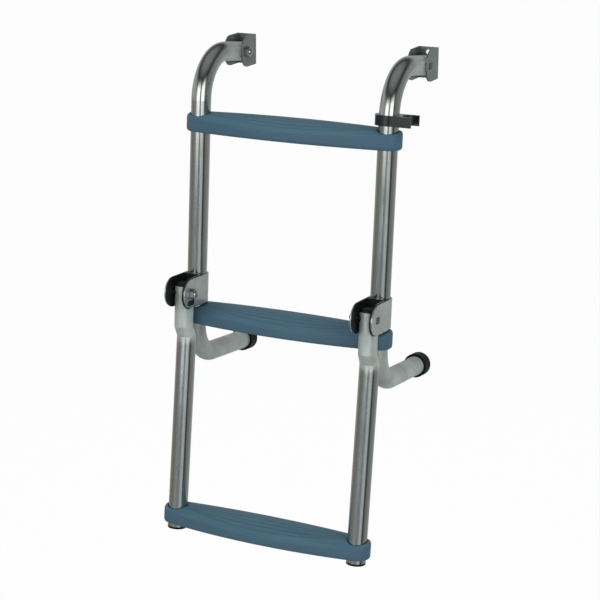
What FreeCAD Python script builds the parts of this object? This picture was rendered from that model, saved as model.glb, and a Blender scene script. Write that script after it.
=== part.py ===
import FreeCAD, Part
import math
import os

import Sketcher
from FreeCAD import Placement, Rotation, Vector

# Folding transom ladder: two bent tube rails on transom brackets, two fixed treads,
# and a hinged lower section with a third tread. Millimetres and degrees, +Z up,
# +Y towards the transom, origin on the back face of the left transom bracket.

DRIVING = {
    "tube_od": 25.4,
    "tube_wall": 1.5,
    "rail_spacing": 259.0,
    "fit_gap": 0.2,
    # arms, bends and standoffs of an upper rail
    "arm_straight": 38.8,
    "arm_slope": 3.1,
    "arm_tail": 12.0,
    "press_width": 22.0,
    "press_margin": 8.8,
    "press_edge": 2.5,
    "top_bend": 58.0,
    "low_bend": 48.0,
    "low_straight": 3.0,
    "standoff_length": 157.0,
    # transom brackets
    "bracket_height": 40.0,
    "bracket_plate": 2.2,
    "bracket_pin": 27.5,
    "bracket_nose": 12.5,
    "bracket_round": 15.0,
    "screw_hole": 6.6,
    "screw_spread": 26.0,
    # bolts and cap nuts
    "bolt_size": 8.0,
    "bolt_gap": 0.1,
    "bolt_proud": 0.8,
    "nut_flats": 12.0,
    "nut_height": 5.0,
    "nut_dome": 3.5,
    "nut_shoulder": 1.0,
    # hinge between the sections
    "hinge_drop": 306.0,
    "hinge_reach": 42.0,
    "ear_radius": 19.0,
    "ear_plate": 2.0,
    "window_length": 18.0,
    "window_height": 7.0,
    "window_drop": 11.8,
    "liner_lip": 1.0,
    "liner_web": 3.5,
    # lower section
    "lower_tilt": 3.3,
    "lower_offset": 20.0,
    "lower_length": 318.0,
    "head_width": 22.0,
    "head_depth": 27.5,
    "head_shift": 8.0,
    "head_rise": 8.0,
    "head_end": 46.0,
    "neck_length": 14.0,
    # treads
    "clip_to_tread": 5.8,
    "hinge_to_tread": 46.0,
    "foot_reach": 5.0,
    "collar_radius": 18.0,
    "front_reach": 31.5,
    "back_reach": 21.0,
    "crown_height": 27.0,
    "crown_drop": 2.5,
    "crown_radius": 59.5,
    "crown_setback": 8.0,
    "tread_wall": 3.5,
    "tread_recess": 11.0,
    "tread_round": 4.0,
    # caps, plugs and the clip
    "cap_radius": 16.0,
    "cap_length": 20.0,
    "cap_floor": 5.0,
    "cap_round": 3.5,
    "plug_dome": 5.0,
    "plug_edge": 0.6,
    "plug_slack": 1.2,
    "plug_spigot": 3.0,
    "foot_rim": 3.0,
    "plug_depth": 12.0,
    "clip_height": 13.0,
    "bend_to_clip": 3.0,
    "clip_radius": 17.3,
    "clip_reach": 34.0,
    "clip_seat": 31.5,
    "clip_jaw": 2.7,
}


class Size:
    """A length or angle that knows its number and the cell expression that gives it."""

    def __init__(self, value, text):
        self.value = value
        self.text = text

    def join(self, other, sign, value):
        text = other.text if isinstance(other, Size) else repr(other)
        return Size(value, "(%s %s %s)" % (self.text, sign, text))

    def __add__(self, other):
        return self.join(other, "+", self.value + number(other))

    def __sub__(self, other):
        return self.join(other, "-", self.value - number(other))

    def __mul__(self, other):
        return self.join(other, "*", self.value * number(other))

    def __truediv__(self, other):
        return self.join(other, "/", self.value / number(other))

    def __neg__(self):
        return Size(-self.value, "(-1 * %s)" % self.text)


def number(size):
    return size.value if isinstance(size, Size) else size


def formula(size):
    return size.text if isinstance(size, Size) else repr(size)


def sin(angle):
    return Size(math.sin(math.radians(angle.value)), "sin(%s)" % angle.text)


def cos(angle):
    return Size(math.cos(math.radians(angle.value)), "cos(%s)" % angle.text)


def tan(angle):
    return Size(math.tan(math.radians(angle.value)), "tan(%s)" % angle.text)


def root(size):
    return Size(math.sqrt(size.value), "sqrt(%s)" % size.text)


doc = FreeCAD.newDocument("transom_ladder")
sheet = doc.addObject("Spreadsheet::Sheet", "dims")
for row, (alias, value) in enumerate(DRIVING.items(), start=1):
    sheet.set("A%d" % row, alias.replace("_", " "))
    sheet.set("B%d" % row, str(value))
    sheet.setAlias("B%d" % row, alias)
doc.recompute()

D = {alias: Size(float(sheet.get(alias)), "dims." + alias) for alias in DRIVING}
ZERO = 0.0

# Sizes that several pieces share
tube_radius = D["tube_od"] / 2
bore_radius = tube_radius - D["tube_wall"]
seat_radius = tube_radius + D["fit_gap"]
press_half = D["press_width"] / 2
bracket_inner = press_half + D["fit_gap"] * 1.5
bracket_outer = bracket_inner + D["bracket_plate"]
bolt_radius = D["bolt_size"] / 2
bolt_hole = bolt_radius + D["bolt_gap"]
ear_inner = seat_radius
ear_outer = ear_inner + D["ear_plate"]
cheek_outer = ear_inner - D["fit_gap"] / 2
cheek_inner = D["head_width"] / 2 + D["fit_gap"]
top_run = D["top_bend"] * tan(D["arm_slope"] / 2 + 45)
low_run = D["low_bend"] * tan(-(D["arm_slope"] / 2) + 45)
arm_reach = top_run + D["arm_straight"]
arm_tail = arm_reach + D["arm_tail"]
clip_drop = top_run + D["bend_to_clip"]
first_level = (clip_drop + D["clip_height"] / 2 + D["clip_to_tread"]
               + D["crown_height"] - D["crown_drop"])
middle_level = D["hinge_drop"] + D["hinge_to_tread"]
standoff_drop = middle_level + D["low_straight"] + low_run
bottom_level = D["lower_length"] - D["foot_reach"]
ROOMY = 200.0
NUT_ANGLE = Size(30.0, "30")
CROWN_SHARE = 0.97
CHEEK_SHARE = 0.8


def body(name):
    """A new body, named and labelled as its piece."""
    piece = doc.addObject("PartDesign::Body", name)
    piece.Label = name
    return piece


def sketch_on(piece, name, role, lift=ZERO, turn=None):
    """An empty sketch on one of the piece's own origin planes, lifted along its normal."""
    sketch = piece.newObject("Sketcher::SketchObject", name)
    plane = [f for f in piece.Origin.OriginFeatures if f.Role == role][0]
    sketch.AttachmentSupport = (plane, [""])
    sketch.MapMode = "FlatFace"
    rotation = Rotation(turn[0], number(turn[1])) if turn else Rotation()
    sketch.AttachmentOffset = Placement(Vector(0, 0, number(lift)), rotation)
    if isinstance(lift, Size):
        sketch.setExpression("AttachmentOffset.Base.z", lift.text)
    if turn and isinstance(turn[1], Size):
        sketch.setExpression("AttachmentOffset.Rotation.Angle", turn[1].text)
    return sketch


def pin_along(sketch, geometry, position, kind, size):
    """Ties one coordinate of a point of the sketch, on the axis where it is nothing."""
    if abs(number(size)) < 1e-9:
        axis = -2 if kind == "DistanceX" else -1
        sketch.addConstraint(Sketcher.Constraint("PointOnObject", geometry, position, axis))
        return
    index = sketch.addConstraint(
        Sketcher.Constraint(kind, -1, 1, geometry, position, number(size))
    )
    if isinstance(size, Size):
        sketch.setExpression("Constraints[%d]" % index, size.text)


def pin_point(sketch, geometry, position, across, up):
    """Ties a point of the sketch to its two coordinates."""
    pin_along(sketch, geometry, position, "DistanceX", across)
    pin_along(sketch, geometry, position, "DistanceY", up)


def pin_half_turn(sketch, geometry, start, upright):
    """Keeps the centre of a half circle in line with its two ends."""
    if upright:
        pin_along(sketch, geometry, 3, "DistanceX", start[0])
    else:
        pin_along(sketch, geometry, 3, "DistanceY", start[1])


def arc_between(start, end, radius, clockwise):
    """The arc of less than a half turn, or of exactly one, from start to end."""
    chord = end - start
    half = chord.Length / 2
    rise = math.sqrt(max(radius * radius - half * half, 0.0))
    normal = Vector(-chord.y, chord.x, 0).normalize()
    centre = (start + end) * 0.5 + normal * (rise if not clockwise else -rise)
    way = ((start + end) * 0.5 - centre)
    if way.Length < 1e-6:
        way = normal * (-1 if not clockwise else 1)
    middle = centre + way.normalize() * radius
    return Part.ArcOfCircle(start, middle, end)


def draw(sketch, points, closed=True):
    """Draws a chain of lines and arcs. A point is (across, up) or (across, up, radius, turn):
    the last two make an arc to the next point, turning left (1) or right (-1)."""
    count = len(points)
    spans = count if closed else count - 1
    ends = []
    centres = []
    for i in range(spans):
        here = points[i]
        there = points[(i + 1) % count]
        start = Vector(number(here[0]), number(here[1]), 0)
        end = Vector(number(there[0]), number(there[1]), 0)
        if len(here) == 2:
            index = sketch.addGeometry(Part.LineSegment(start, end))
            ends.append((index, 1, 2))
            continue
        clockwise = here[3] < 0
        index = sketch.addGeometry(arc_between(start, end, number(here[2]), clockwise))
        ends.append((index, 2, 1) if clockwise else (index, 1, 2))
        if abs((end - start).Length - number(here[2]) * 2) < 1e-6:
            centres.append((index, here, abs(start.x - end.x) < 1e-6))
            continue
        bound = sketch.addConstraint(Sketcher.Constraint("Radius", index, number(here[2])))
        if isinstance(here[2], Size):
            sketch.setExpression("Constraints[%d]" % bound, here[2].text)
    for index, here, upright in centres:
        pin_half_turn(sketch, index, here, upright)
    for i in range(spans):
        index, first, last = ends[i]
        pin_point(sketch, index, first, points[i][0], points[i][1])
        if closed or i + 1 < spans:
            follower = ends[(i + 1) % spans]
            sketch.addConstraint(
                Sketcher.Constraint("Coincident", index, last, follower[0], follower[1])
            )
        else:
            pin_point(sketch, index, last, points[-1][0], points[-1][1])


def ring(sketch, radius, across=ZERO, up=ZERO):
    """Draws a full circle."""
    centre = Vector(number(across), number(up), 0)
    index = sketch.addGeometry(Part.Circle(centre, Vector(0, 0, 1), number(radius)))
    bound = sketch.addConstraint(Sketcher.Constraint("Radius", index, number(radius)))
    sketch.setExpression("Constraints[%d]" % bound, formula(radius))
    pin_point(sketch, index, 3, across, up)


def oval(half_width, half_depth, centre=ZERO):
    """Points of a straight-sided oval whose round ends lie along the second direction."""
    flat = half_depth - half_width
    low = -flat + centre
    high = flat + centre
    return [
        (half_width, low),
        (half_width, high, half_width, 1),
        (-half_width, high),
        (-half_width, low, half_width, 1),
    ]


def quarters(radius, flat, centre=ZERO):
    """The same four corners on a full circle, so that a loft runs true from an oval."""
    side = root(radius * radius - flat * flat)
    low = -flat + centre
    high = flat + centre
    return [
        (side, low, radius, 1),
        (side, high, radius, 1),
        (-side, high, radius, 1),
        (-side, low, radius, 1),
    ]


def feature(piece, kind, name, sketch, **settings):
    """Adds a sketch-based feature to the piece. Settings that are sizes stay bound."""
    step = piece.newObject("PartDesign::" + kind, name)
    step.Profile = sketch
    for key, value in settings.items():
        if isinstance(value, Size):
            setattr(step, key, value.value)
            step.setExpression(key, value.text)
        else:
            setattr(step, key, value)
    sketch.Visibility = False
    return step


def pad(piece, name, sketch, length, **settings):
    return feature(piece, "Pad", name, sketch, Length=length, **settings)


def cut_through(piece, name, sketch):
    """Cuts the sketch out of the whole piece, both ways."""
    return feature(piece, "Pocket", name, sketch, Type="ThroughAll", Midplane=True)


def loft(piece, kind, name, sections):
    step = piece.newObject("PartDesign::" + kind, name)
    step.Profile = sections[0]
    step.Sections = sections[1:]
    step.Ruled = True
    return step


def pipe(piece, kind, name, profile, path):
    step = piece.newObject("PartDesign::" + kind, name)
    step.Profile = profile
    step.Spine = path
    return step


# The three frames that the pieces stand in
pin_back = number(arm_reach * cos(D["arm_slope"]))
pin_down = -number(arm_reach * sin(D["arm_slope"]))
cap_back = number(D["standoff_length"] * cos(D["arm_slope"]))
cap_down = -number(standoff_drop + D["standoff_length"] * sin(D["arm_slope"]))


def rail_lean():
    """The lean that sets both the bracket plates and the standoff caps on the transom."""
    low, high = 0.0, 20.0
    for _ in range(60):
        lean = (low + high) / 2
        tilt = math.radians(lean)
        plate = pin_back * math.cos(tilt) + pin_down * math.sin(tilt) + number(D["bracket_pin"])
        cap = cap_back * math.cos(tilt) + cap_down * math.sin(tilt)
        rim = number(D["cap_radius"]) * math.sin(tilt + math.radians(number(D["arm_slope"])))
        if cap + rim > plate:
            low = lean
        else:
            high = lean
    return (low + high) / 2


lean = rail_lean()
tilted = Rotation(Vector(1, 0, 0), -lean)
pin_offset = tilted.multVec(Vector(0, pin_back, pin_down))
rail_frame = Placement(Vector(0, -number(D["bracket_pin"]), 0) - pin_offset, tilted)
hinge_point = Vector(0, -number(D["hinge_reach"]), -number(D["hinge_drop"]))
lower_frame = rail_frame.multiply(
    Placement(hinge_point, Rotation(Vector(1, 0, 0), -number(D["lower_tilt"])))
)
right = Vector(number(D["rail_spacing"]), 0, 0)


def at(frame, local=Vector(0, 0, 0), turn=Rotation()):
    return frame.multiply(Placement(local, turn))


PIECES = []


def finish(piece, placement):
    piece.Placement = placement
    PIECES.append(piece)


def transom_bracket(name, placement):
    """A folded plate: back plate with two screw holes, and two ears with round noses."""
    piece = body(name)
    depth = D["bracket_pin"] + D["bracket_nose"]
    half = D["bracket_height"] / 2
    fold = sketch_on(piece, name + "_fold", "XY_Plane", -half)
    draw(fold, [
        (bracket_outer, ZERO), (-bracket_outer, ZERO), (-bracket_outer, -depth),
        (-bracket_inner, -depth), (-bracket_inner, -D["bracket_plate"]),
        (bracket_inner, -D["bracket_plate"]), (bracket_inner, -depth), (bracket_outer, -depth),
    ])
    pad(piece, name + "_channel", fold, D["bracket_height"])
    nose = sketch_on(piece, name + "_nose", "YZ_Plane")
    tangent = half - D["bracket_round"]
    start = D["bracket_round"] - depth
    far = -depth - ROOMY
    draw(nose, [
        (start, half, D["bracket_round"], 1), (-depth, tangent),
        (-depth, -tangent, D["bracket_round"], 1), (start, -half),
        (start, -half - ROOMY), (far, -half - ROOMY), (far, half + ROOMY), (start, half + ROOMY),
    ])
    cut_through(piece, name + "_ears", nose)
    screws = sketch_on(piece, name + "_screws", "XZ_Plane")
    for sign in (1, -1):
        ring(screws, D["screw_hole"] / 2, ZERO, D["screw_spread"] / 2 * sign)
    feature(piece, "Pocket", name + "_screw_holes", screws, Length=D["bracket_plate"] * 2, Midplane=True)
    bolt = sketch_on(piece, name + "_bolt", "YZ_Plane")
    ring(bolt, bolt_hole, -D["bracket_pin"], ZERO)
    feature(piece, "Pocket", name + "_round_hole", bolt, Type="ThroughAll", Reversed=True)
    square = sketch_on(piece, name + "_square", "YZ_Plane")
    draw(square, square_points(bolt_hole, -D["bracket_pin"]))
    feature(piece, "Pocket", name + "_square_hole", square, Type="ThroughAll")
    finish(piece, placement)


def square_points(half, across=ZERO):
    return [
        (-half + across, -half), (half + across, -half),
        (half + across, half), (-half + across, half),
    ]


def bolt(name, outer, inner, plate, placement):
    """A bolt across the piece: square end in the outer ear, round through the rest."""
    piece = body(name)
    outline = sketch_on(piece, name + "_end", "YZ_Plane", -outer - D["bolt_proud"])
    draw(outline, square_points(bolt_radius))
    pad(piece, name + "_square", outline, plate + D["bolt_proud"])
    shank = sketch_on(piece, name + "_shank_outline", "YZ_Plane", plate - outer)
    ring(shank, bolt_radius)
    pad(piece, name + "_shank", shank, outer - plate + inner + D["nut_height"])
    finish(piece, placement)


def cap_nut(name, face, placement):
    """A six-sided nut with a domed cap, on the inner ear."""
    piece = body(name)
    corner = D["nut_flats"] / 2 / cos(NUT_ANGLE)
    hexagon = sketch_on(piece, name + "_flats", "YZ_Plane", face)
    half_side = corner / 2
    draw(hexagon, [
        (D["nut_flats"] / 2, -half_side), (D["nut_flats"] / 2, half_side), (ZERO, corner),
        (-D["nut_flats"] / 2, half_side), (-D["nut_flats"] / 2, -half_side), (ZERO, -corner),
    ])
    pad(piece, name + "_hex", hexagon, D["nut_height"])
    dome = sketch_on(piece, name + "_dome", "XY_Plane")
    foot = face + D["nut_height"]
    base = D["nut_flats"] / 2 - D["nut_shoulder"]
    bulge = (base * base + D["nut_dome"] * D["nut_dome"]) / (D["nut_dome"] * 2)
    draw(dome, [
        (foot - D["nut_shoulder"], ZERO), (foot + D["nut_dome"], ZERO, bulge, 1),
        (foot, base), (foot - D["nut_shoulder"], base),
    ])
    revolve(piece, name + "_cap", dome, "X_Axis")
    hole = sketch_on(piece, name + "_thread", "YZ_Plane", face)
    ring(hole, bolt_hole)
    feature(piece, "Pocket", name + "_bore", hole, Length=D["nut_height"] + D["bolt_gap"],
            Reversed=True)
    finish(piece, placement)


def revolve(piece, name, sketch, role, kind="Revolution"):
    axis = [f for f in piece.Origin.OriginFeatures if f.Role == role][0]
    return feature(piece, kind, name, sketch, ReferenceAxis=(axis, [""]), Angle=360.0)


def rail_path(piece, name, start, stop):
    """The bent line of an upper rail, from a distance along the arm to one along the standoff."""
    sketch = sketch_on(piece, name, "YZ_Plane")
    back_y, back_z = cos(D["arm_slope"]), -sin(D["arm_slope"])
    drop = -standoff_drop
    draw(sketch, [
        (back_y * start, back_z * start),
        (back_y * top_run, back_z * top_run, D["top_bend"], 1),
        (ZERO, -top_run),
        (ZERO, drop + low_run, D["low_bend"], 1),
        (back_y * low_run, drop + back_z * low_run),
        (back_y * stop, drop + back_z * stop),
    ], closed=False)
    return sketch


def upper_rail(name, placement):
    """One bent tube: arm with its pressed end, large top bend, rail, low bend, standoff."""
    piece = body(name)
    stop = D["standoff_length"] - D["cap_floor"] - D["fit_gap"]
    outside = square_to_arm(piece, name + "_outside", arm_tail)
    ring(outside, tube_radius)
    path = rail_path(piece, name + "_outside_path", arm_tail, stop)
    pipe(piece, "AdditivePipe", name + "_tube", outside, path)
    recess_start = top_run + D["press_margin"]
    wide_start = recess_start - D["tube_wall"] * 3
    reach = tube_radius - D["press_edge"]
    for side, label in ((1, "right"), (-1, "left")):
        tongue = sketch_on(piece, name + "_tongue_" + label, "YZ_Plane", press_half * side,
                           (Vector(0, 0, -1), D["arm_slope"]))
        past = arm_tail + D["tube_wall"]
        draw(tongue, [
            (past, -reach), (past, reach), (recess_start + reach, reach, reach, 1),
            (recess_start + reach, -reach),
        ])
        feature(piece, "Pocket", name + "_recess_" + label, tongue, Length=D["tube_wall"] * 4,
                Reversed=side > 0)
    wide = square_to_arm(piece, name + "_bore", wide_start)
    ring(wide, bore_radius)
    inner_path = rail_path(piece, name + "_bore_path", wide_start, stop + D["tube_wall"])
    pipe(piece, "SubtractivePipe", name + "_hollow", wide, inner_path)
    mouth = square_to_arm(piece, name + "_mouth", arm_tail)
    half = press_half - D["tube_wall"]
    high = root(bore_radius * bore_radius - half * half)
    draw(mouth, [
        (half, -high), (half, high, bore_radius, 1), (-half, high),
        (-half, -high, bore_radius, 1),
    ])
    feature(piece, "Pocket", name + "_mouth_cut", mouth, Length=arm_tail - wide_start + D["fit_gap"],
            Reversed=True)
    pin = sketch_on(piece, name + "_pin", "YZ_Plane")
    ring(pin, bolt_hole, arm_reach * cos(D["arm_slope"]), -(arm_reach * sin(D["arm_slope"])))
    cut_through(piece, name + "_pin_hole", pin)
    finish(piece, placement)


def square_to_arm(piece, name, along):
    """A sketch across the arm, at a distance from the knee along the arm's sloping line."""
    slope = D["arm_slope"]
    sketch = sketch_on(piece, name, "XZ_Plane", ZERO, (Vector(-1, 0, 0), slope))
    sketch.AttachmentOffset = Placement(
        Vector(0, -number(along * sin(slope)), -number(along * cos(slope))),
        Rotation(Vector(-1, 0, 0), number(slope)),
    )
    sketch.setExpression("AttachmentOffset.Base.y", (-(along * sin(slope))).text)
    sketch.setExpression("AttachmentOffset.Base.z", (-(along * cos(slope))).text)
    return sketch


def standoff_cap(name, placement):
    """A rubber cup over the end of the standoff, with a rounded rim."""
    piece = body(name)
    outline = sketch_on(piece, name + "_outline", "XY_Plane")
    round_end = D["cap_round"]
    mouth = -(D["cap_length"])
    floor = -D["cap_floor"]
    draw(outline, [
        (ZERO, floor), (ZERO, ZERO), (D["cap_radius"] - round_end, ZERO, round_end, -1),
        (D["cap_radius"], -round_end), (D["cap_radius"], mouth), (seat_radius, mouth),
        (seat_radius, floor),
    ])
    revolve(piece, name + "_cup", outline, "Y_Axis")
    finish(piece, placement)


def hinge_bracket(name, inner_side, placement):
    """A strap round the back of the rail with two ears that carry the hinge bolt."""
    piece = body(name)
    front = D["hinge_reach"] + D["ear_radius"]
    strap = sketch_on(piece, name + "_strap", "XY_Plane", -D["ear_radius"])
    draw(strap, [
        (ear_outer, -front), (ear_outer, ZERO, ear_outer, 1), (-ear_outer, ZERO),
        (-ear_outer, -front), (-ear_inner, -front), (-ear_inner, ZERO, ear_inner, -1),
        (ear_inner, ZERO), (ear_inner, -front),
    ])
    pad(piece, name + "_wrap", strap, D["ear_radius"] * 2)
    trim_nose(piece, name, D["ear_radius"])
    bolt_sketch = sketch_on(piece, name + "_bolt", "YZ_Plane")
    ring(bolt_sketch, bolt_hole, -D["hinge_reach"], ZERO)
    feature(piece, "Pocket", name + "_round_hole", bolt_sketch, Type="ThroughAll",
            Reversed=inner_side > 0)
    square = sketch_on(piece, name + "_square", "YZ_Plane")
    draw(square, square_points(bolt_hole, -D["hinge_reach"]))
    feature(piece, "Pocket", name + "_square_hole", square, Type="ThroughAll",
            Reversed=inner_side < 0)
    window = sketch_on(piece, name + "_window", "YZ_Plane")
    draw(window, window_points(ZERO))
    feature(piece, "Pocket", name + "_window_cut", window, Type="ThroughAll",
            Reversed=inner_side > 0)
    finish(piece, placement)


def window_points(gap):
    """The long round-ended window in the inner ear, below the bolt."""
    half_height = D["window_height"] / 2 - gap
    half_flat = (D["window_length"] - D["window_height"]) / 2
    middle = -D["hinge_reach"] - 1
    low = -D["window_drop"] - half_height
    high = -D["window_drop"] + half_height
    return [
        (middle - half_flat, low), (middle + half_flat, low, half_height, 1),
        (middle + half_flat, high), (middle - half_flat, high, half_height, 1),
    ]


def trim_nose(piece, name, radius):
    """Cuts the fronts of both ears to a half circle about the hinge bolt."""
    nose = sketch_on(piece, name + "_nose", "YZ_Plane")
    centre = -D["hinge_reach"]
    far = centre - ROOMY
    draw(nose, [
        (centre, radius, radius, 1), (centre, -radius), (centre, -radius - ROOMY),
        (far, -radius - ROOMY), (far, radius + ROOMY), (centre, radius + ROOMY),
    ])
    cut_through(piece, name + "_ears", nose)


def hinge_liner(name, inner_side, placement):
    """The moulded liner between the ears: two cheeks, a web behind the head, and a boss."""
    piece = body(name)
    radius = D["ear_radius"] + D["liner_lip"]
    front = D["hinge_reach"] + radius
    edge = cheek_outer * CHEEK_SHARE
    touch = root(seat_radius * seat_radius - edge * edge)
    channel = sketch_on(piece, name + "_channel", "XY_Plane", -radius)
    web_front = -(tube_radius + D["liner_web"])
    draw(channel, [
        (cheek_outer, -front), (cheek_outer, -touch), (edge, -touch, seat_radius, -1),
        (-edge, -touch), (-cheek_outer, -touch), (-cheek_outer, -front),
        (-cheek_inner, -front), (-cheek_inner, web_front), (cheek_inner, web_front),
        (cheek_inner, -front),
    ])
    pad(piece, name + "_web", channel, radius * 2)
    trim_nose(piece, name, radius)
    hole = sketch_on(piece, name + "_bolt", "YZ_Plane")
    ring(hole, bolt_hole, -D["hinge_reach"], ZERO)
    cut_through(piece, name + "_bolt_hole", hole)
    boss = sketch_on(piece, name + "_boss_outline", "YZ_Plane", cheek_outer * inner_side)
    draw(boss, window_points(D["fit_gap"]))
    pad(piece, name + "_boss", boss, D["ear_plate"] + D["fit_gap"] / 2, Reversed=inner_side < 0)
    finish(piece, placement)


def lower_sections(piece, name, inset):
    """Sections of a lower rail's head, oval at the top and round at the neck."""
    flat = (D["head_depth"] - D["head_width"]) / 2
    neck = sketch_on(piece, name + "_neck", "XY_Plane", -(D["head_end"] + D["neck_length"]))
    draw(neck, quarters(tube_radius - inset, flat, D["lower_offset"]))
    sections = [neck]
    for label, level in (("shoulder", -D["head_end"]), ("crest", D["head_rise"])):
        sketch = sketch_on(piece, name + "_" + label, "XY_Plane", level)
        half_width, half_depth = D["head_width"] / 2 - inset, D["head_depth"] / 2 - inset
        draw(sketch, oval(half_width, half_depth, head_centre(level)))
        sections.append(sketch)
    return sections


def head_centre(level):
    """Where a section of the head sits: the head stays in line with the upper rail."""
    return D["head_shift"] - level * tan(D["lower_tilt"])


def lower_rail(name, placement):
    """A straight tube whose upper end steps forward and is pressed to an oval head."""
    piece = body(name)
    neck = D["head_end"] + D["neck_length"]
    tube = sketch_on(piece, name + "_tube_outline", "XY_Plane", -D["lower_length"])
    ring(tube, tube_radius, ZERO, D["lower_offset"])
    pad(piece, name + "_tube", tube, D["lower_length"] - neck)
    loft(piece, "AdditiveLoft", name + "_head", lower_sections(piece, name + "_out", 0.0))
    inner = lower_sections(piece, name + "_in", D["tube_wall"])
    loft(piece, "SubtractiveLoft", name + "_head_hollow", inner)
    bore = sketch_on(piece, name + "_bore_outline", "XY_Plane", -D["lower_length"])
    ring(bore, bore_radius, ZERO, D["lower_offset"])
    feature(piece, "Pocket", name + "_bore", bore, Length=D["lower_length"] - neck, Reversed=True)
    pin = sketch_on(piece, name + "_pin", "YZ_Plane")
    ring(pin, bolt_hole)
    cut_through(piece, name + "_pin_hole", pin)
    finish(piece, placement)


def head_plug(name, placement):
    """A domed plug on top of the oval head, with a short spigot inside it."""
    piece = body(name)
    centre = head_centre(D["head_rise"])
    top = sketch_on(piece, name + "_rim", "XY_Plane", D["head_rise"])
    draw(top, oval(D["head_width"] / 2, D["head_depth"] / 2, centre))
    lid = pad(piece, name + "_lid", top, D["plug_dome"])
    doc.recompute()
    peak = number(D["head_rise"] + D["plug_dome"])
    crest = [
        "Edge%d" % (i + 1) for i, edge in enumerate(lid.Shape.Edges)
        if abs(edge.BoundBox.ZMin - peak) < 1e-4
    ]
    rounding = piece.newObject("PartDesign::Fillet", name + "_dome")
    rounding.Base = (lid, crest)
    rounding.Radius = number(D["plug_dome"] - D["plug_edge"])
    rounding.setExpression("Radius", (D["plug_dome"] - D["plug_edge"]).text)
    spigot = sketch_on(piece, name + "_spigot_outline", "XY_Plane", D["head_rise"])
    inner = D["tube_wall"] + D["plug_slack"]
    draw(spigot, oval(D["head_width"] / 2 - inner, D["head_depth"] / 2 - inner, centre))
    pad(piece, name + "_spigot", spigot, D["plug_spigot"], Reversed=True)
    finish(piece, placement)


def foot_plug(name, placement):
    """A plug in the foot of a lower rail, with a rim as wide as the tube."""
    piece = body(name)
    outline = sketch_on(piece, name + "_outline", "XZ_Plane")
    rim = -D["foot_rim"]
    chamfer = D["foot_rim"] / 3
    reach = bore_radius - D["fit_gap"] / 2
    draw(outline, [
        (ZERO, rim), (tube_radius - chamfer, rim, chamfer, 1), (tube_radius, rim + chamfer),
        (tube_radius, ZERO), (reach, ZERO), (reach, D["plug_depth"]), (ZERO, D["plug_depth"]),
    ])
    revolve(piece, name + "_turned", outline, "Z_Axis")
    finish(piece, placement)


def tread_plan():
    """The boat-shaped plan: a round collar at each rail and a shallow arc on each side."""
    half = D["rail_spacing"] / 2
    collar = D["collar_radius"]
    front = (half * half + D["front_reach"] * D["front_reach"] - collar * collar) / (
        (D["front_reach"] - collar) * 2)
    back = (half * half + D["back_reach"] * D["back_reach"] - collar * collar) / (
        (D["back_reach"] - collar) * 2)
    front_x = half * collar / (front - collar)
    front_y = (front - D["front_reach"]) * collar / (front - collar)
    back_x = half * collar / (back - collar)
    back_y = (back - D["back_reach"]) * collar / (back - collar)
    span = D["rail_spacing"]
    return [
        (-front_x, -front_y, front, 1), (span + front_x, -front_y, collar, 1),
        (span + collar, ZERO, collar, 1), (span + back_x, back_y, back, 1),
        (-back_x, back_y, collar, 1), (-collar, ZERO, collar, 1),
    ]


def tread(name, placement):
    """A moulded tread, crowned along and across, with a collar round each rail."""
    piece = body(name)
    half = D["rail_spacing"] / 2
    long_radius = half * half / (D["crown_drop"] * 2) + D["crown_drop"] / 2
    blank = sketch_on(piece, name + "_blank", "XY_Plane")
    draw(blank, tread_plan())
    pad(piece, name + "_block", blank, D["crown_height"] + D["tread_wall"])
    crown = sketch_on(piece, name + "_crown", "YZ_Plane", half)
    radius = D["crown_radius"]
    reach = radius * CROWN_SHARE
    side = root(radius * radius - reach * reach)
    crest = D["crown_height"]
    setback = D["crown_setback"]
    low = crest - radius + side
    roof = crest + radius
    draw(crown, [
        (setback + reach, low, radius, 1), (setback - reach, low), (setback - reach, roof),
        (setback + reach, roof),
    ])
    axis = sketch_on(piece, name + "_crown_axis", "YZ_Plane", half)
    level = crest - long_radius
    draw(axis, [(-D["front_reach"], level), (D["front_reach"], level)], closed=False)
    doc.recompute()
    feature(piece, "Groove", name + "_top", crown, ReferenceAxis=(axis, ["Edge1"]),
            Angle=30.0, Midplane=True)
    doc.recompute()
    round_edges(piece, name, D["tread_round"])
    holes = sketch_on(piece, name + "_collars", "XY_Plane")
    ring(holes, seat_radius)
    ring(holes, seat_radius, D["rail_spacing"], ZERO)
    cut_through(piece, name + "_bores", holes)
    recesses(piece, name)
    finish(piece, placement)


def round_edges(piece, name, radius):
    """Rounds the outline's top and bottom edges, before anything else is cut."""
    tip = piece.Tip
    walls = [
        "Edge%d" % (i + 1) for i, edge in enumerate(tip.Shape.Edges)
        if edge.BoundBox.ZLength < edge.Length * 0.3
    ]
    rounding = piece.newObject("PartDesign::Fillet", name + "_edges")
    rounding.Base = (tip, walls)
    rounding.Radius = number(radius)
    rounding.setExpression("Radius", radius.text)


def recesses(piece, name):
    """Hollows under the tread, between cross ribs, as moulded treads have."""
    wall = D["tread_wall"]
    start = D["collar_radius"] + wall
    count = 4
    room = (D["rail_spacing"] - start * 2 - wall * (count - 1)) / count
    front = -(D["collar_radius"] - wall)
    back = D["collar_radius"] - wall
    under = sketch_on(piece, name + "_under", "XY_Plane")
    for i in range(count):
        left = start + (room + wall) * i
        draw(under, [
            (left, front), (left + room, front), (left + room, back), (left, back),
        ])
    feature(piece, "Pocket", name + "_hollows", under, Length=D["tread_recess"], Reversed=True)


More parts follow.
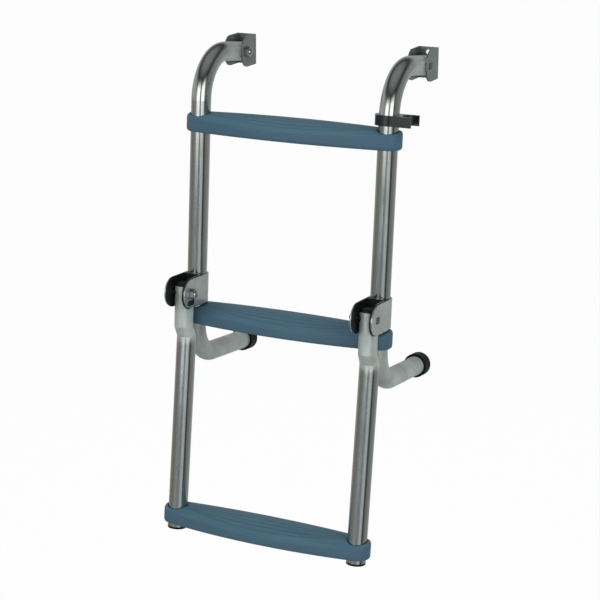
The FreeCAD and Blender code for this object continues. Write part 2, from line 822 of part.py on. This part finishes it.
def rail_clip(name, placement):
    """A closed band round the rail and an open cradle that holds the folded lower rail."""
    piece = body(name)
    outline = sketch_on(piece, name + "_outline", "XY_Plane", -D["clip_height"] / 2)
    jaw_in = seat_radius
    jaw_out = jaw_in + D["clip_jaw"]
    root_x = root(D["clip_radius"] * D["clip_radius"] - jaw_out * jaw_out)
    bottom = D["clip_seat"] - D["fit_gap"] * 3.5
    draw(outline, [
        (root_x, jaw_out, D["clip_radius"], 1), (-D["clip_radius"], ZERO, D["clip_radius"], 1),
        (root_x, -jaw_out), (D["clip_reach"], -jaw_out), (D["clip_reach"], -jaw_in),
        (bottom, -jaw_in, jaw_in, -1), (bottom, jaw_in), (D["clip_reach"], jaw_in),
        (D["clip_reach"], jaw_out),
    ])
    pad(piece, name + "_moulding", outline, D["clip_height"])
    band = sketch_on(piece, name + "_band", "XY_Plane")
    ring(band, seat_radius)
    cut_through(piece, name + "_bore", band)
    finish(piece, placement)


flipped = Rotation(Vector(0, 1, 0), 180)
world = Placement()
pin_local = Vector(0, pin_back, pin_down)
standoff_end = Vector(0, cap_back, cap_down)
cap_turn = Rotation(Vector(1, 0, 0), -number(D["arm_slope"]))
pin_world = Vector(0, -number(D["bracket_pin"]), 0)
rail_foot = Vector(0, number(D["lower_offset"]), -number(D["lower_length"]))
clip_local = Vector(0, 0, -number(clip_drop))

for side, across, inner_side, spin in (
    ("left", Vector(0, 0, 0), 1, Rotation()),
    ("right", right, -1, flipped),
):
    transom_bracket(side + "_transom_bracket", at(world, across, spin))
    bolt(side + "_bracket_bolt", bracket_outer, bracket_outer, D["bracket_plate"],
         at(world, across + pin_world, spin))
    cap_nut(side + "_bracket_nut", bracket_outer, at(world, across + pin_world, spin))
    upper_rail(side + "_upper_rail", at(rail_frame, across))
    standoff_cap(side + "_standoff_cap", at(rail_frame, across + standoff_end, cap_turn))
    hinge_level = across + Vector(0, 0, -number(D["hinge_drop"]))
    hinge_bracket(side + "_hinge_bracket", inner_side, at(rail_frame, hinge_level))
    hinge_liner(side + "_hinge_liner", inner_side, at(rail_frame, hinge_level))
    hinge_axis = across + hinge_point
    bolt(side + "_hinge_bolt", ear_outer, ear_outer, D["ear_plate"], at(rail_frame, hinge_axis, spin))
    cap_nut(side + "_hinge_nut", ear_outer, at(rail_frame, hinge_axis, spin))
    lower_rail(side + "_lower_rail", at(lower_frame, across))
    head_plug(side + "_head_plug", at(lower_frame, across))
    foot_plug(side + "_foot_plug", at(lower_frame, across + rail_foot))

tread("top_tread", at(rail_frame, Vector(0, 0, -number(first_level))))
tread("middle_tread", at(rail_frame, Vector(0, 0, -number(middle_level))))
foot_level = Vector(0, number(D["lower_offset"]), -number(bottom_level))
tread("bottom_tread", at(lower_frame, foot_level))
rail_clip("fold_clip", at(rail_frame, right + clip_local))

doc.recompute()

faults = [
    item.Name for item in doc.Objects
    if "Invalid" in item.State or "Error" in item.State
]
for piece in PIECES:
    if piece.Shape.isNull() or not piece.Shape.isValid() or len(piece.Shape.Solids) != 1:
        faults.append(piece.Label)
if faults:
    raise RuntimeError("these objects did not build: " + ", ".join(faults))

os.makedirs("parts", exist_ok=True)
for piece in PIECES:
    piece.Shape.exportStep("parts/%s.step" % piece.Label)
    print("%-24s %9.1f mm3" % (piece.Label, piece.Shape.Volume))

past_parallel = math.degrees(math.atan2(
    number(D["hinge_reach"] + D["lower_offset"] - D["clip_seat"]),
    number(D["hinge_drop"] - clip_drop),
))
hinge_world = rail_frame.multVec(hinge_point)
clip_world = rail_frame.multVec(right + clip_local)
clip_axis = tilted.multVec(Vector(0, 0, 1))
print("rail lean", round(lean, 4))
print("hinge axis at", [round(v, 4) for v in hinge_world])
print("clip axis at", [round(v, 4) for v in clip_world], [round(v, 6) for v in clip_axis])
print("fold range", round(180 - number(D["lower_tilt"]) + past_parallel, 3))
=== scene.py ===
import math

import bmesh
import bpy
from mathutils import Matrix, Vector

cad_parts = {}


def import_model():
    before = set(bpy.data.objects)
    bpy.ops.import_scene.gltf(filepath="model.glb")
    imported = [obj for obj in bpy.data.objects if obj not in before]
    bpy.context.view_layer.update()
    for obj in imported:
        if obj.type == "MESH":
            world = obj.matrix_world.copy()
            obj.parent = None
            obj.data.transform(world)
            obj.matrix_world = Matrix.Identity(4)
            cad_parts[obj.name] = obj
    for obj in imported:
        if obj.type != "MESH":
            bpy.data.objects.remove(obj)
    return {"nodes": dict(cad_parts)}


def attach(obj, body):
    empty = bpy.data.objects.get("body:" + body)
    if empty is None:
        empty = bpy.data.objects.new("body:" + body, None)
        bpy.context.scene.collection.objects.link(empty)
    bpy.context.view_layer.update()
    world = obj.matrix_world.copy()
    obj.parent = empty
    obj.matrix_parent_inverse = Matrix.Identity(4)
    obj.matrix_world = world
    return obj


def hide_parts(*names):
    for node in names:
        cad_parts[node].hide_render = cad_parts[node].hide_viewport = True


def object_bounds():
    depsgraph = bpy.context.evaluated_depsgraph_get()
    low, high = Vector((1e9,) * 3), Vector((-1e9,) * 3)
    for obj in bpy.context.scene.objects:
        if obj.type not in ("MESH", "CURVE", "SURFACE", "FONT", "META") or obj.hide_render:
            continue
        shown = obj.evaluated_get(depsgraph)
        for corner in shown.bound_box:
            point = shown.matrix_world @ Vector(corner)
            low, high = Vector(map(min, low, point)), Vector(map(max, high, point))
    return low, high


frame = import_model()
cad_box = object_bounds()

NODES = frame["nodes"]
SIDES = ("left", "right")
UPPER_LEAN = math.radians(4.4515)
LOWER_LEAN = UPPER_LEAN + math.radians(3.3)


class Graph:
    """Node helpers that the materials and the world share."""

    def __init__(self, tree):
        self.nodes = tree.nodes
        self.links = tree.links

    def fill(self, socket, value):
        """A link from another node's output, or a colour or number set on the socket."""
        if isinstance(value, tuple):
            socket.default_value = (*value, 1.0)
        elif isinstance(value, float):
            socket.default_value = value
        else:
            self.links.new(value, socket)

    def calc(self, kind, *values):
        node = self.nodes.new("ShaderNodeMath")
        node.operation = kind
        for socket, value in zip(node.inputs, values):
            self.fill(socket, value)
        return node.outputs["Value"]

    def ramp(self, factor, stops):
        node = self.nodes.new("ShaderNodeValToRGB")
        self.links.new(factor, node.inputs["Fac"])
        elements = node.color_ramp.elements
        while len(elements) < len(stops):
            elements.new(0.5)
        for element, (place, colour) in zip(elements, stops):
            element.position = place
            element.color = (*colour, 1.0)
        return node.outputs["Color"]

    def span(self, value, low, high, start=0.0, end=1.0):
        """The value from low to high, eased into start to end."""
        node = self.nodes.new("ShaderNodeMapRange")
        node.interpolation_type = "SMOOTHSTEP"
        self.links.new(value, node.inputs["Value"])
        node.inputs["From Min"].default_value = low
        node.inputs["From Max"].default_value = high
        node.inputs["To Min"].default_value = start
        node.inputs["To Max"].default_value = end
        return node.outputs["Result"]

    def mix(self, factor, a, b, kind="RGBA"):
        node = self.nodes.new("ShaderNodeMix")
        node.data_type = kind
        self.links.new(factor, node.inputs["Factor"])
        self.fill(node.inputs["A"], a)
        self.fill(node.inputs["B"], b)
        return node.outputs["Result"]

    def mix_value(self, factor, a, b):
        return self.mix(factor, a, b, kind="FLOAT")


# Painted shade in the corners, where surfaces meet closely: linear colour, reach in metres, and how
# open a shaded to an unshaded spot is
CORNER_SHADE = (0.15, 0.16, 0.155)
CORNER_SHADE_REACH = 0.003
CORNER_SHADE_OPEN = (0.25, 0.85)
CORNER_SHADE_SAMPLES = 16


class Shader(Graph):
    """A node material in the making, on top of its Principled BSDF."""

    def __init__(self, name):
        self.material = bpy.data.materials.new(name)
        self.material.use_nodes = True
        super().__init__(self.material.node_tree)
        self.surface = self.nodes["Principled BSDF"]
        self.texture = self.nodes.new("ShaderNodeTexCoord")

    def set(self, **values):
        """Uniform values, by the socket's name in lower case with underscores."""
        for key, value in values.items():
            socket = key.replace("_", " ").title().replace("Ior", "IOR")
            self.surface.inputs[socket].default_value = value

    def into(self, output, socket):
        self.links.new(output, self.surface.inputs[socket])

    def axis(self, name, space="Object"):
        node = self.nodes.new("ShaderNodeSeparateXYZ")
        self.links.new(self.texture.outputs[space], node.inputs["Vector"])
        return node.outputs[name]

    def noise(self, size, detail, rough, stretch=(1.0, 1.0, 1.0)):
        """Noise over the object's own coordinates, which are scaled on each axis first."""
        mapping = self.nodes.new("ShaderNodeMapping")
        mapping.inputs["Scale"].default_value = stretch
        self.links.new(self.texture.outputs["Object"], mapping.inputs["Vector"])
        node = self.nodes.new("ShaderNodeTexNoise")
        self.links.new(mapping.outputs["Vector"], node.inputs["Vector"])
        node.inputs["Scale"].default_value = size
        node.inputs["Detail"].default_value = detail
        node.inputs["Roughness"].default_value = rough
        return node.outputs["Fac"]

    def corner_shaded(self, colour):
        """The colour, darkened with painted shade where the surface meets another one closely."""
        node = self.nodes.new("ShaderNodeAmbientOcclusion")
        node.samples = CORNER_SHADE_SAMPLES
        node.inputs["Distance"].default_value = CORNER_SHADE_REACH
        return self.mix(self.span(node.outputs["AO"], *CORNER_SHADE_OPEN), CORNER_SHADE, colour)

    def bump(self, height, distance, strength):
        node = self.nodes.new("ShaderNodeBump")
        node.inputs["Distance"].default_value = distance
        node.inputs["Strength"].default_value = strength
        self.links.new(height, node.inputs["Height"])
        self.into(node.outputs["Normal"], "Normal")


# Steel. Ramps are places with linear colours.
POLISHED = ((0.2, (0.485, 0.505, 0.49)), (0.8, (0.66, 0.69, 0.675)))
SATIN = ((0.3, (0.42, 0.465, 0.445)), (0.5, (0.57, 0.63, 0.60)), (0.72, (0.69, 0.76, 0.73)))
SATIN_METALLIC = 0.6
SATIN_ROUGH = (0.42, 0.56)
ARM_SATIN = 0.6
STAIN = (0.36, 0.37, 0.31)
STAIN_SHARE = 0.6
PLATE_TINT = (0.92, 1.0, 0.98)
PLATE_ROUGH = (0.24, 0.38)
TURNED_TINT = (1.0, 1.0, 0.98)
TURNED_ROUGH = (0.12, 0.26)


def scaled(colour, share):
    return tuple(part * share for part in colour)


def tube_steel(name, satin_level, gloss, pale, arms=None):
    """Polished tube, satin beyond a level and towards the arms' ends, where it was formed."""
    s = Shader(name)
    streaks = s.noise(size=900.0, detail=4.0, rough=0.6, stretch=(1.0, 1.0, 0.02))
    smudges = s.noise(size=34.0, detail=4.0, rough=0.6, stretch=(1.0, 1.0, 0.35))
    stains = s.noise(size=48.0, detail=3.0, rough=0.55)
    plain = s.ramp(smudges, [(place, scaled(colour, pale)) for place, colour in SATIN])
    matt = s.mix(s.span(stains, 0.5, 0.72, end=STAIN_SHARE), plain, STAIN)
    satin = s.span(s.axis("Z"), *satin_level)
    if arms:
        satin = s.calc("MAXIMUM", satin, s.span(s.axis("Y"), *arms, end=ARM_SATIN))
    s.into(s.mix(satin, s.ramp(streaks, POLISHED), matt), "Base Color")
    s.into(s.mix_value(satin, 1.0, SATIN_METALLIC), "Metallic")
    bright = s.span(smudges, 0.3, 0.75, *gloss)
    dull = s.span(smudges, 0.3, 0.75, *SATIN_ROUGH)
    s.into(s.mix_value(satin, bright, dull), "Roughness")
    s.bump(s.mix_value(satin, streaks, smudges), distance=0.00004, strength=0.6)
    return s.material


def plate_steel(name, low, high):
    """Satin sheet with a fine brushed grain."""
    s = Shader(name)
    s.set(metallic=0.9)
    grain = s.noise(size=1400.0, detail=3.0, rough=0.6, stretch=(1.0, 0.04, 1.0))
    clouds = s.noise(size=60.0, detail=3.0, rough=0.5)
    plain = s.ramp(clouds, ((0.3, scaled(PLATE_TINT, low)), (0.7, scaled(PLATE_TINT, high))))
    # Painted shade darkens the plate where it meets other parts closely.
    s.into(s.corner_shaded(plain), "Base Color")
    s.into(s.span(grain, 0.25, 0.75, *PLATE_ROUGH), "Roughness")
    s.bump(grain, distance=0.00001, strength=0.4)
    return s.material


def turned_steel(name, low, high):
    """Turned steel of the bolts and cap nuts, with faint rings."""
    s = Shader(name)
    s.set(metallic=1.0)
    rings = s.noise(size=700.0, detail=2.0, rough=0.5, stretch=(0.3, 1.0, 1.0))
    plain = s.ramp(rings, ((0.3, scaled(TURNED_TINT, low)), (0.7, scaled(TURNED_TINT, high))))
    # Painted shade darkens the bolts and nuts where they meet other parts closely.
    s.into(s.corner_shaded(plain), "Base Color")
    s.into(s.span(rings, 0.3, 0.7, *TURNED_ROUGH), "Roughness")
    s.bump(rings, distance=0.00004, strength=0.5)
    return s.material


# Plastic and rubber
# The sides' and the top's colours: the top is paler, as painted light from above.
TREAD_SHADED_SIDE = ((0.25, (0.037, 0.087, 0.130)), (0.75, (0.043, 0.100, 0.147)))
TREAD_LIT_TOP = ((0.25, (0.050, 0.116, 0.162)), (0.75, (0.063, 0.138, 0.189)))
# Painted shade: the colour that the grooves' bottoms darken towards.
TREAD_GROOVE_SHADE = (0.020, 0.050, 0.072)
TREAD_ROUGH = (0.40, 0.54)
GROOVE_SHADE_MASK = "groove"


def black_plastic(name, colour, rough, grain_size, depth, shine):
    """Black moulding or rubber with a fine skin and slightly worn high spots."""
    s = Shader(name)
    s.set(metallic=0.0, ior=1.45, specular_ior_level=shine)
    grain = s.noise(size=grain_size, detail=3.0, rough=0.6)
    wear = s.noise(size=90.0, detail=4.0, rough=0.6)
    worn = tuple(part * 1.6 + 0.002 for part in colour)
    s.into(s.ramp(wear, ((0.35, colour), (0.8, worn))), "Base Color")
    s.into(s.span(wear, 0.3, 0.7, *rough), "Roughness")
    s.bump(grain, depth, strength=0.6)
    return s.material


def tread_plastic(name):
    """Blue-grey moulding: paler and a little greener on top and bluer on its sides, a painted light
    from above; darker in the grooves, a painted shade.
    """
    s = Shader(name)
    s.set(metallic=0.0, ior=1.46)
    skin = s.noise(size=2600.0, detail=3.0, rough=0.6)
    flow = s.noise(size=150.0, detail=4.0, rough=0.6, stretch=(0.12, 1.0, 1.0))
    # Painted light: surfaces facing up take the paler top colour.
    lit_top_share = s.span(s.axis("Z", space="Normal"), 0.25, 0.95)
    groove_shade = s.nodes.new("ShaderNodeAttribute")
    groove_shade.attribute_name = GROOVE_SHADE_MASK
    plain = s.mix(lit_top_share, s.ramp(flow, TREAD_SHADED_SIDE), s.ramp(flow, TREAD_LIT_TOP))
    s.into(s.mix(groove_shade.outputs["Fac"], plain, TREAD_GROOVE_SHADE), "Base Color")
    s.into(s.span(flow, 0.25, 0.75, *TREAD_ROUGH), "Roughness")
    s.bump(skin, distance=0.00006, strength=0.5)
    return s.material


TUBE_UPPER = tube_steel(
    "upper_tube_steel", satin_level=(-0.322, -0.332), gloss=(0.07, 0.17), pale=0.86,
    arms=(-0.084, -0.066),
)
TUBE_LOWER = tube_steel(
    "lower_tube_steel", satin_level=(-0.362, -0.346), gloss=(0.10, 0.19), pale=1.0,
)
PLATE = plate_steel("satin_plate", low=0.54, high=0.68)
BRACKET_PLATE = plate_steel("bracket_plate", low=0.25, high=0.36)
NUT = turned_steel("bright_nut", low=0.45, high=0.70)
# The bolts' very dark steel is painted shade: their square ends sit sunk in the ears' holes.
BOLT = turned_steel("shade_darkened_bolt", low=0.08, high=0.20)
LINER = black_plastic(
    "black_moulding", (0.006, 0.007, 0.007), rough=(0.26, 0.40),
    grain_size=1500.0, depth=0.00004, shine=0.3,
)
CLIP = black_plastic(
    "glossy_clip", (0.006, 0.007, 0.008), rough=(0.10, 0.20),
    grain_size=900.0, depth=0.00002, shine=0.6,
)
RUBBER = black_plastic(
    "black_rubber", (0.004, 0.0046, 0.0052), rough=(0.36, 0.50),
    grain_size=2200.0, depth=0.00004, shine=0.13,
)
TREAD = tread_plastic("tread_moulding")

DRESS = {
    "upper_rail": TUBE_UPPER,
    "lower_rail": TUBE_LOWER,
    "transom_bracket": BRACKET_PLATE,
    "hinge_bracket": PLATE,
    "hinge_liner": LINER,
    "head_plug": LINER,
    "foot_plug": RUBBER,
    "standoff_cap": RUBBER,
    "bracket_bolt": BOLT,
    "hinge_bolt": BOLT,
    "bracket_nut": NUT,
    "hinge_nut": NUT,
}


def dress(name, material):
    mesh = NODES[name].data
    mesh.materials.clear()
    mesh.materials.append(material)


for side in SIDES:
    for kind, material in DRESS.items():
        dress(side + "_" + kind, material)
dress("fold_clip", CLIP)


# Treads: the solid's own form on a fine even mesh, with long shallow grooves sunk in its top.
# Lengths are in metres. The grooves' places are measured from the rails' line at mid-width,
# and they draw together towards GROOVE_MIDDLE at the sides.
GROOVES = (-0.0235, -0.0165, -0.0095, -0.0025, 0.0045, 0.0115)
GROOVE_MIDDLE = -0.0015
GROOVE_BOW = 0.8
GROOVE_SHARE = 0.84
GROOVE_FADE = 5.0
GROOVE_HALF = 0.0009
GROOVE_REACH = 2.2
GROOVE_DEPTH = 0.0004
GROOVE_FAINT = 0.7
GROOVE_SHADE = 0.45
FRONT_TO_RAIL = 0.0315
TOP_NORMAL = 0.45
TOP_ABOVE = 0.010
VOXEL = 0.00105
SMOOTH_STEPS = 4


def groove_depth(x, y, half):
    """How deep the top lies below its crown at a point of the plan."""
    along = abs(x) / (half * GROOVE_SHARE)
    if along >= 1.0:
        return 0.0
    bow = 1.0 - along * along
    fade = min(1.0, (1.0 - along) * GROOVE_FADE)
    depth = 0.0
    for k, reach in enumerate(GROOVES):
        line = GROOVE_MIDDLE + (reach - GROOVE_MIDDLE) * bow ** GROOVE_BOW
        off = abs(y - line) / GROOVE_HALF
        if off < GROOVE_REACH:
            depth += GROOVE_DEPTH * math.exp(-off * off) * (1.0 if k % 2 else GROOVE_FAINT)
    return depth * fade


def even_mesh(piece):
    """The piece's form, rebuilt from small even faces."""
    remesh = piece.modifiers.new("even", "REMESH")
    remesh.mode = "VOXEL"
    remesh.voxel_size = VOXEL
    remesh.adaptivity = 0.0
    smooth = piece.modifiers.new("soft", "CORRECTIVE_SMOOTH")
    smooth.iterations = SMOOTH_STEPS
    smooth.use_only_smooth = True
    graph = bpy.context.evaluated_depsgraph_get()
    fine = bpy.data.meshes.new_from_object(piece.evaluated_get(graph))
    piece.modifiers.clear()
    return fine


def grooved_tread(node_name, body, lean):
    mesh = NODES[node_name].data.copy()
    piece = bpy.data.objects.new(node_name + "_moulding", mesh)
    bpy.context.scene.collection.objects.link(piece)
    levelled = Matrix.Rotation(lean, 4, "X")
    mesh.transform(levelled)
    corners = [v.co for v in mesh.vertices]
    left = min(c.x for c in corners)
    right = max(c.x for c in corners)
    middle = (left + right) / 2
    half = (right - left) / 2
    rail_line = min(c.y for c in corners) + FRONT_TO_RAIL
    underside = min(c.z for c in corners)

    fine = even_mesh(piece)
    piece.data = fine
    work = bmesh.new()
    work.from_mesh(fine)
    work.normal_update()
    groove_shade_layer = work.verts.layers.float.new(GROOVE_SHADE_MASK)
    for vert in work.verts:
        if vert.normal.z > TOP_NORMAL and vert.co.z > underside + TOP_ABOVE:
            down = groove_depth(vert.co.x - middle, vert.co.y - rail_line, half)
            vert.co.z -= down
            # The groove's painted shade, stronger where the groove is deeper.
            vert[groove_shade_layer] = min(1.0, down / GROOVE_DEPTH) * GROOVE_SHADE
    for face in work.faces:
        face.smooth = True
    work.to_mesh(fine)
    work.free()
    fine.transform(levelled.inverted())
    fine.materials.clear()
    fine.materials.append(TREAD)
    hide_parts(node_name)
    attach(piece, body)


grooved_tread("top_tread", "upper_section", UPPER_LEAN)
grooved_tread("middle_tread", "upper_section", UPPER_LEAN)
grooved_tread("bottom_tread", "lower_section", LOWER_LEAN)


# Stage. The camera is the photo's own view, found by fitting the part's edges to it.
CAMERA_YAW = math.radians(24.8252)
CAMERA_PITCH = math.radians(17.3249)
CAMERA_ROLL = math.radians(0.2305)
CAMERA_AT = Vector((1.018705, -2.030175, 0.355364))
FOCAL = 101.901
SENSOR = 36.0
FAR = 50.0

FLOOR_HALF = 9.0
FLOOR_DROP = 0.26
FLOOR_GLOW = 0.93

LAMP_AIM = Vector((0.13, -0.13, -0.3))

ROOM = (0.78, 0.79, 0.80)
WHITE = (1.0, 1.0, 1.0)
TAN, GREY, BLUE = (1.03, 1.0, 0.94), (0.97, 1.0, 0.98), (0.92, 0.98, 1.06)

# What metal mirrors, as places, levels and tints round the part, with 0.5 towards the viewer:
# soft strips below the horizon, windows from there up, and then a dark ceiling. The three
# spans are heights of the mirrored direction, from -1 straight down to 1 straight up.
STRIPS = (
    (0.0, 0.32, GREY), (0.13, 0.38, TAN), (0.20, 0.22, TAN), (0.29, 0.22, TAN),
    (0.35, 0.30, GREY), (0.41, 0.32, BLUE), (0.45, 0.25, BLUE), (0.50, 0.30, BLUE),
    (0.545, 0.56, GREY), (0.595, 0.50, GREY), (0.615, 0.08, GREY), (0.655, 0.07, GREY),
    (0.685, 0.22, GREY), (0.80, 0.30, GREY), (0.90, 0.48, GREY), (1.0, 0.32, GREY),
)
WINDOWS = (
    (0.0, 0.42, GREY), (0.20, 0.50, GREY), (0.34, 0.36, GREY), (0.38, 1.9, GREY),
    (0.448, 1.9, GREY), (0.465, 0.32, GREY), (0.497, 0.32, GREY), (0.515, 1.9, GREY),
    (0.59, 1.9, GREY), (0.612, 0.14, GREY), (0.70, 0.24, GREY), (1.0, 0.42, GREY),
)
CEILING_EDGE = (0.045, 0.045, 0.045)
CEILING_TOP = (0.26, 0.265, 0.26)
STRIPS_TO_WINDOWS = (-0.085, -0.035)
WALLS_TO_CEILING = (0.28, 0.66)
EDGE_TO_TOP = (0.60, 1.0)


def floor():
    """A pale floor that takes the part's shadow and fades into the white backdrop."""
    mesh = bpy.data.meshes.new("floor")
    level = cad_box[0][2] - FLOOR_DROP
    corners = ((-1, -1), (1, -1), (1, 1), (-1, 1))
    mesh.from_pydata([(FLOOR_HALF * x, FLOOR_HALF * y, level) for x, y in corners], [], [(0, 1, 2, 3)])
    plane = bpy.data.objects.new("floor", mesh)
    bpy.context.scene.collection.objects.link(plane)
    s = Shader("pale_floor")
    s.set(base_color=(0.86, 0.86, 0.86, 1.0), roughness=0.9)
    rays = s.nodes.new("ShaderNodeLightPath")
    glow = s.nodes.new("ShaderNodeEmission")
    blend = s.nodes.new("ShaderNodeMixShader")
    share = s.calc("MULTIPLY", rays.outputs["Is Camera Ray"], FLOOR_GLOW)
    s.links.new(share, blend.inputs["Fac"])
    s.links.new(s.surface.outputs["BSDF"], blend.inputs[1])
    s.links.new(glow.outputs["Emission"], blend.inputs[2])
    s.links.new(blend.outputs["Shader"], s.nodes["Material Output"].inputs["Surface"])
    mesh.materials.append(s.material)
    plane.visible_glossy = False


def world():
    """White to the eye; what metal mirrors has the soft dark and light strips of a studio."""
    backdrop = bpy.data.worlds.new("studio")
    bpy.context.scene.world = backdrop
    backdrop.use_nodes = True
    backdrop.node_tree.nodes.clear()
    g = Graph(backdrop.node_tree)
    direction = g.nodes.new("ShaderNodeTexCoord").outputs["Generated"]
    rays = g.nodes.new("ShaderNodeLightPath")

    def towards(vector):
        node = g.nodes.new("ShaderNodeVectorMath")
        node.operation = "DOT_PRODUCT"
        g.links.new(direction, node.inputs[0])
        node.inputs[1].default_value = vector
        return node.outputs["Value"]

    def tones(stops):
        return g.ramp(place, [(at, scaled(tint, level)) for at, level, tint in stops])

    across = towards((math.cos(CAMERA_YAW), math.sin(CAMERA_YAW), 0.0))
    back = towards((math.sin(CAMERA_YAW), -math.cos(CAMERA_YAW), 0.0))
    place = g.calc("MULTIPLY_ADD", g.calc("ARCTAN2", across, back), 0.5 / math.pi, 0.5)
    height = towards((0.0, 0.0, 1.0))
    walls = g.mix(g.span(height, *STRIPS_TO_WINDOWS), tones(STRIPS), tones(WINDOWS))
    ceiling = g.mix(g.span(height, *EDGE_TO_TOP), CEILING_EDGE, CEILING_TOP)
    mirrored = g.mix(g.span(height, *WALLS_TO_CEILING), walls, ceiling)
    lit = g.mix(rays.outputs["Is Glossy Ray"], ROOM, mirrored)
    seen = g.mix(rays.outputs["Is Camera Ray"], lit, WHITE)
    glow = g.nodes.new("ShaderNodeBackground")
    out = g.nodes.new("ShaderNodeOutputWorld")
    g.links.new(seen, glow.inputs["Color"])
    g.links.new(glow.outputs["Background"], out.inputs["Surface"])


def lamp(name, place, size, power):
    data = bpy.data.lights.new(name, "AREA")
    data.shape = "RECTANGLE"
    data.size, data.size_y = size
    data.energy = power
    light = bpy.data.objects.new(name, data)
    light.location = place
    light.rotation_euler = (LAMP_AIM - Vector(place)).to_track_quat("-Z", "Y").to_euler()
    light.visible_glossy = False
    bpy.context.scene.collection.objects.link(light)


def camera():
    ahead = Vector((
        -math.sin(CAMERA_YAW) * math.cos(CAMERA_PITCH),
        math.cos(CAMERA_YAW) * math.cos(CAMERA_PITCH),
        -math.sin(CAMERA_PITCH),
    ))
    across = Vector((math.cos(CAMERA_YAW), math.sin(CAMERA_YAW), 0.0))
    up = across.cross(ahead)
    side = across * math.cos(CAMERA_ROLL) + up * math.sin(CAMERA_ROLL)
    top = up * math.cos(CAMERA_ROLL) - across * math.sin(CAMERA_ROLL)
    data = bpy.data.cameras.new("camera")
    data.lens = FOCAL
    data.sensor_width = SENSOR
    data.clip_end = FAR
    eye = bpy.data.objects.new("camera", data)
    turn = Matrix((side, top, -ahead)).transposed()
    eye.matrix_world = Matrix.Translation(CAMERA_AT) @ turn.to_4x4()
    bpy.context.scene.collection.objects.link(eye)
    bpy.context.scene.camera = eye


floor()
world()
lamp("key", place=(-1.2, -2.2, 1.6), size=(1.6, 1.6), power=25.0)
lamp("fill", place=(2.4, -1.2, 0.9), size=(1.4, 2.0), power=26.0)
camera()
bpy.context.scene.view_settings.view_transform = "Standard"
